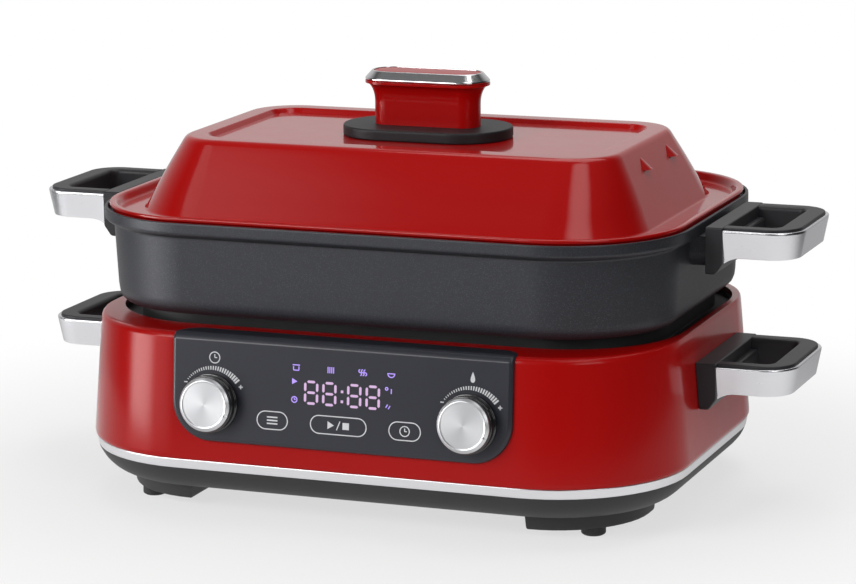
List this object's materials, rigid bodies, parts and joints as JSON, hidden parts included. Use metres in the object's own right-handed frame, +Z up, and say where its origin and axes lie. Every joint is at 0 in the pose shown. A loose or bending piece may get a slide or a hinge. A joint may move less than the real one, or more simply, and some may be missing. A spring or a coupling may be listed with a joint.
{
  "type": "multicooker",
  "caption": "Countertop electric multicooker: a rectangular non-stick pot with a lift-off domed lid sits on a heated base with side handles, a front display and two turning knobs.",
  "frame": {"origin": "on the floor, midway across and midway from the knobs' faces to the rear of the pot's rim", "axes": "+X to the right of someone facing the control panel; -Y out of the control panel; +Z up"},
  "size_m": [0.438, 0.2632, 0.2247],
  "materials": {
    "red_enamel": "glossy deep red enamel on cast metal",
    "red_gloss": "glossy deep red moulded plastic",
    "black_plastic": "satin black plastic",
    "black_gloss": "glossy black plastic",
    "panel_slate": "dark slate satin panel",
    "nonstick": "dark grey sparkling non-stick coat on cast aluminium",
    "trim_silver": "satin silver trim",
    "spun_aluminium": "radially spun aluminium",
    "chrome_ring": "polished chrome",
    "steel": "zinc-plated steel",
    "reflector": "bright sheet",
    "plate_cast": "cast heating plate",
    "rubber": "black rubber",
    "board": "green circuit board",
    "component": "moulded component case",
    "copper_wound": "wound copper and laminations",
    "contacts": "plated brass",
    "insulation": "wire insulation"
  },
  "bodies": {
    "base": {"housing": "red_gloss", "trim_band": "trim_silver", "base_tray": "black_plastic", "foot_pads": "rubber", "tray_screws": "steel", "body_handle_left": "black_plastic", "body_handle_right": "black_plastic", "body_handle_left_trim": "trim_silver", "body_handle_right_trim": "trim_silver", "body_handle_screws": "steel", "control_panel": "panel_slate", "panel_screws": "steel", "control_board": "board", "board_screws": "steel", "display_module": "black_gloss", "touch_springs": "contacts", "encoder_left": "steel", "encoder_right": "steel", "well_ring": "black_plastic", "reflector_tray": "reflector", "heating_plate": "plate_cast", "heating_element": "steel", "plate_posts": "steel", "post_screws": "steel", "cutout_thermostat": "black_plastic", "thermal_fuse": "steel", "sensor_spring": "steel", "sensor_guide": "steel", "power_board": "board", "power_board_screws": "steel", "relay": "component", "transformer": "copper_wound", "filter_capacitor": "component", "power_inlet": "black_plastic", "inlet_pins": "contacts", "mains_leads": "insulation", "heater_leads": "insulation", "control_ribbon": "insulation"},
    "pot": {"pot": "nonstick", "pot_handle_left": "black_plastic", "pot_handle_right": "black_plastic", "pot_handle_left_trim": "trim_silver", "pot_handle_right_trim": "trim_silver", "pot_handle_screws": "steel"},
    "lid": {"lid_shell": "red_enamel", "lid_knob_foot": "black_plastic", "lid_knob_grip": "red_gloss", "lid_knob_ring": "chrome_ring", "lid_knob_inlay": "red_gloss", "lid_knob_screws": "steel"},
    "sensor": {"sensor_plunger": "reflector", "sensor_clip": "steel"},
    "knob_left": {"knob_left": "black_gloss", "knob_left_cap": "spun_aluminium", "knob_left_shaft": "steel"},
    "knob_right": {"knob_right": "black_gloss", "knob_right_cap": "spun_aluminium", "knob_right_shaft": "steel"}
  },
  "joints": [
    {"name": "pot_lift", "type": "slide", "parent": "base", "child": "pot", "axis": [0, 0, 1], "range_m": [0, 0.08]},
    {"name": "lid_lift", "type": "slide", "parent": "pot", "child": "lid", "axis": [0, 0, 1], "range_m": [0, 0.1]},
    {"name": "knob_left_turn", "type": "hinge", "parent": "base", "child": "knob_left", "pos_m": [-0.072, -0.11724, 0.064], "axis": [0, -0.996, 0.0897], "continuous": true},
    {"name": "knob_right_turn", "type": "hinge", "parent": "base", "child": "knob_right", "pos_m": [0.072, -0.11724, 0.064], "axis": [0, -0.996, 0.0897], "continuous": true},
    {"name": "sensor_press", "type": "slide", "parent": "base", "child": "sensor", "axis": [0, 0, 1], "range_m": [-0.0025, 0], "stiffness_N_per_m": 800, "springref_m": 0.004, "deforming": ["sensor_spring"]}
  ]
}
